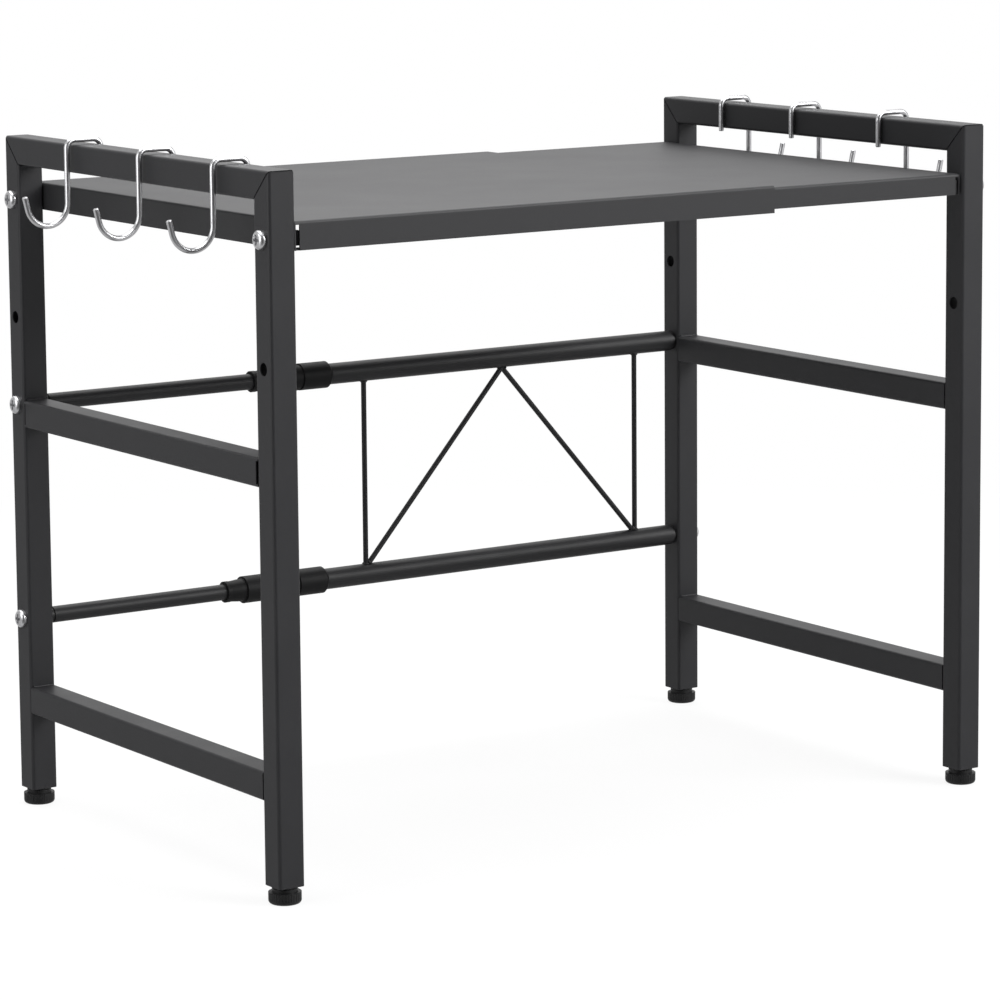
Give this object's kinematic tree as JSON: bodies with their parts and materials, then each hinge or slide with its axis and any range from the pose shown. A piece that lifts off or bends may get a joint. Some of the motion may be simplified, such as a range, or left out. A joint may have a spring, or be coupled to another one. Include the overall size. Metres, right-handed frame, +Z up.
{
  "type": "microwave shelf rack",
  "caption": "Expandable black steel countertop rack: side frames, sliding sheet shelf, telescoping rear bars with a rod truss, wire hooks and levelling feet.",
  "frame": {"origin": "on the floor, under the middle of the rack at its rest width", "axes": "+X to the right along the width, +Y to the back where the crossbars are, +Z up"},
  "size_m": [0.6888, 0.3724, 0.4975],
  "materials": {
    "frame_tube": "black powder coat, satin",
    "shelf_sheet": "black powder coat, satin",
    "hook_wire": "polished",
    "plated_steel": "bright zinc plate",
    "black_plastic": "moulded, fine texture",
    "collar_plastic": "moulded, satin"
  },
  "bodies": {
    "left_half": {"left_front_post": "frame_tube", "left_rear_post": "frame_tube", "left_top_rail": "frame_tube", "left_middle_rail": "frame_tube", "left_bottom_rail": "frame_tube", "left_shelf_panel": "shelf_sheet", "upper_inner_tube": "frame_tube", "lower_inner_tube": "frame_tube", "inner_tube_plugs": "black_plastic", "inner_tube_guides": "black_plastic", "left_shelf_bolts": "plated_steel", "left_shelf_nuts": "shelf_sheet", "left_crossbar_bolts": "plated_steel", "left_front_leg_insert": "black_plastic", "left_rear_leg_insert": "black_plastic"},
    "right_half": {"right_front_post": "frame_tube", "right_rear_post": "frame_tube", "right_top_rail": "frame_tube", "right_middle_rail": "frame_tube", "right_bottom_rail": "frame_tube", "right_shelf_panel": "shelf_sheet", "upper_outer_tube": "frame_tube", "lower_outer_tube": "frame_tube", "outer_tube_plugs": "black_plastic", "truss_left_upright": "frame_tube", "truss_right_upright": "frame_tube", "truss_left_diagonal": "frame_tube", "truss_right_diagonal": "frame_tube", "right_shelf_bolts": "plated_steel", "right_shelf_nuts": "shelf_sheet", "right_crossbar_bolts": "plated_steel", "right_front_leg_insert": "black_plastic", "right_rear_leg_insert": "black_plastic"},
    "upper_collar": {"upper_sleeve": "collar_plastic", "upper_gland": "collar_plastic"},
    "lower_collar": {"lower_sleeve": "collar_plastic", "lower_gland": "collar_plastic"},
    "left_front_foot": {"left_front_foot_pad": "black_plastic", "left_front_foot_stem": "plated_steel"},
    "left_rear_foot": {"left_rear_foot_pad": "black_plastic", "left_rear_foot_stem": "plated_steel"},
    "right_front_foot": {"right_front_foot_pad": "black_plastic", "right_front_foot_stem": "plated_steel"},
    "right_rear_foot": {"right_rear_foot_pad": "black_plastic", "right_rear_foot_stem": "plated_steel"},
    "left_front_hook": {"left_front_hook": "hook_wire"},
    "left_middle_hook": {"left_middle_hook": "hook_wire"},
    "left_rear_hook": {"left_rear_hook": "hook_wire"},
    "right_front_hook": {"right_front_hook": "hook_wire"},
    "right_middle_hook": {"right_middle_hook": "hook_wire"},
    "right_rear_hook": {"right_rear_hook": "hook_wire"}
  },
  "joints": [
    {"name": "width_slide", "type": "slide", "parent": "left_half", "child": "right_half", "axis": [1, 0, 0], "range_m": [-0.14, 0.05]},
    {"name": "upper_collar_twist", "type": "hinge", "parent": "right_half", "child": "upper_collar", "pos_m": [-0.05, 0.175, 0.297], "axis": [1, 0, 0], "range_deg": [0, 180]},
    {"name": "lower_collar_twist", "type": "hinge", "parent": "right_half", "child": "lower_collar", "pos_m": [-0.05, 0.175, 0.139], "axis": [1, 0, 0], "range_deg": [0, 180]},
    {"name": "left_front_foot_level", "type": "slide", "parent": "left_half", "child": "left_front_foot", "axis": [0, 0, -1], "range_m": [-0.001, 0.008]},
    {"name": "left_rear_foot_level", "type": "slide", "parent": "left_half", "child": "left_rear_foot", "axis": [0, 0, -1], "range_m": [-0.001, 0.008]},
    {"name": "right_front_foot_level", "type": "slide", "parent": "right_half", "child": "right_front_foot", "axis": [0, 0, -1], "range_m": [-0.001, 0.008]},
    {"name": "right_rear_foot_level", "type": "slide", "parent": "right_half", "child": "right_rear_foot", "axis": [0, 0, -1], "range_m": [-0.001, 0.008]},
    {"name": "left_front_hook_slide", "type": "slide", "parent": "left_half", "child": "left_front_hook", "axis": [0, 1, 0], "range_m": [-0.034, 0.047]},
    {"name": "left_middle_hook_slide", "type": "slide", "parent": "left_half", "child": "left_middle_hook", "axis": [0, 1, 0], "range_m": [-0.047, 0.049]},
    {"name": "left_rear_hook_slide", "type": "slide", "parent": "left_half", "child": "left_rear_hook", "axis": [0, 1, 0], "range_m": [-0.049, 0.073]},
    {"name": "right_front_hook_slide", "type": "slide", "parent": "right_half", "child": "right_front_hook", "axis": [0, 1, 0], "range_m": [-0.065, 0.05]},
    {"name": "right_middle_hook_slide", "type": "slide", "parent": "right_half", "child": "right_middle_hook", "axis": [0, 1, 0], "range_m": [-0.05, 0.042]},
    {"name": "right_rear_hook_slide", "type": "slide", "parent": "right_half", "child": "right_rear_hook", "axis": [0, 1, 0], "range_m": [-0.042, 0.051]}
  ]
}
